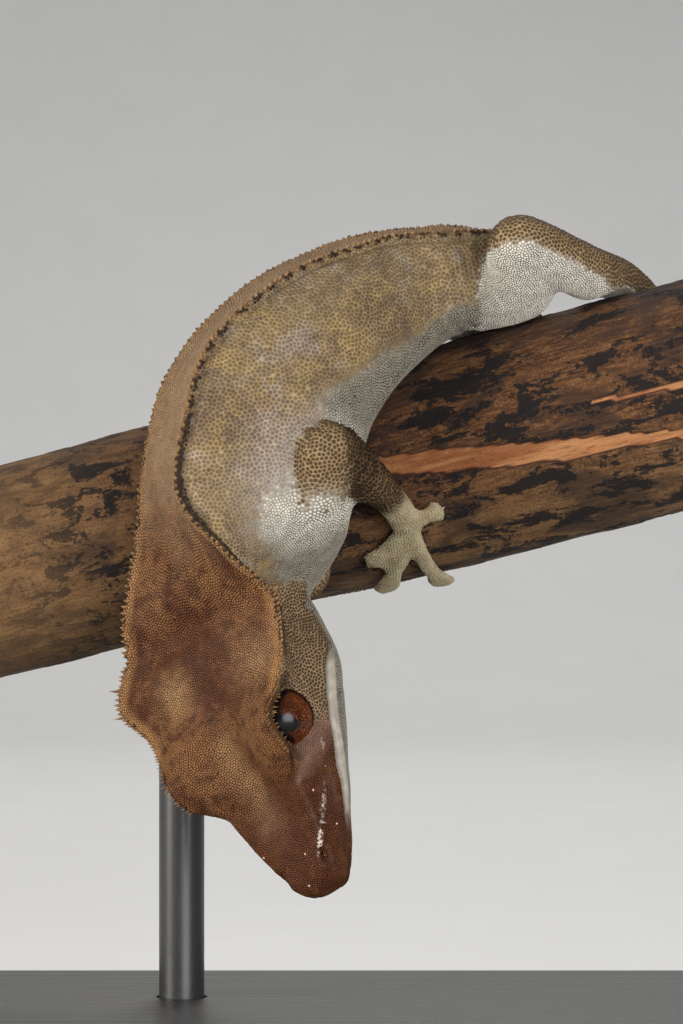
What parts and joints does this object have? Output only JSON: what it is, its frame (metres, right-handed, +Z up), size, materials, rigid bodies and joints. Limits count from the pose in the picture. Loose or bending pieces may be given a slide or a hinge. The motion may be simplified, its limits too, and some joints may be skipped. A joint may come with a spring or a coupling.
{
  "type": "crested gecko display model",
  "caption": "Life-size crested gecko, head down over a cut branch, as a still display model on a flat base with one rod.",
  "frame": {"origin": "middle of the base's underside", "axes": "+Z up, +X along the base's long side towards the branch's raised end, -Y towards the viewer who faces the animal's left side"},
  "size_m": [0.092, 0.07, 0.0801],
  "materials": {
    "head_skin": "brown, finely beaded skin with a slight sheen",
    "body_skin": "tan and brown beaded skin",
    "foot_skin": "pale greenish cream skin",
    "eye": "wet, clear and glossy",
    "bark": "dry weathered bark",
    "base_wood": "black stained, satin",
    "rod_paint": "satin black"
  },
  "bodies": {
    "root": {"head": "head_skin", "neck": "head_skin", "trunk": "body_skin", "tail_base": "body_skin", "tail_end": "body_skin", "upper_arm_left": "body_skin", "forearm_left": "body_skin", "hand_left": "foot_skin", "upper_arm_right": "body_skin", "forearm_right": "body_skin", "hand_right": "foot_skin", "thigh_left": "body_skin", "shin_left": "body_skin", "foot_left": "foot_skin", "thigh_right": "body_skin", "shin_right": "body_skin", "foot_right": "foot_skin", "eye_left": "eye", "eye_right": "eye", "perch_branch": "bark", "stand_base": "base_wood", "stand_rod": "rod_paint"}
  },
  "joints": []
}
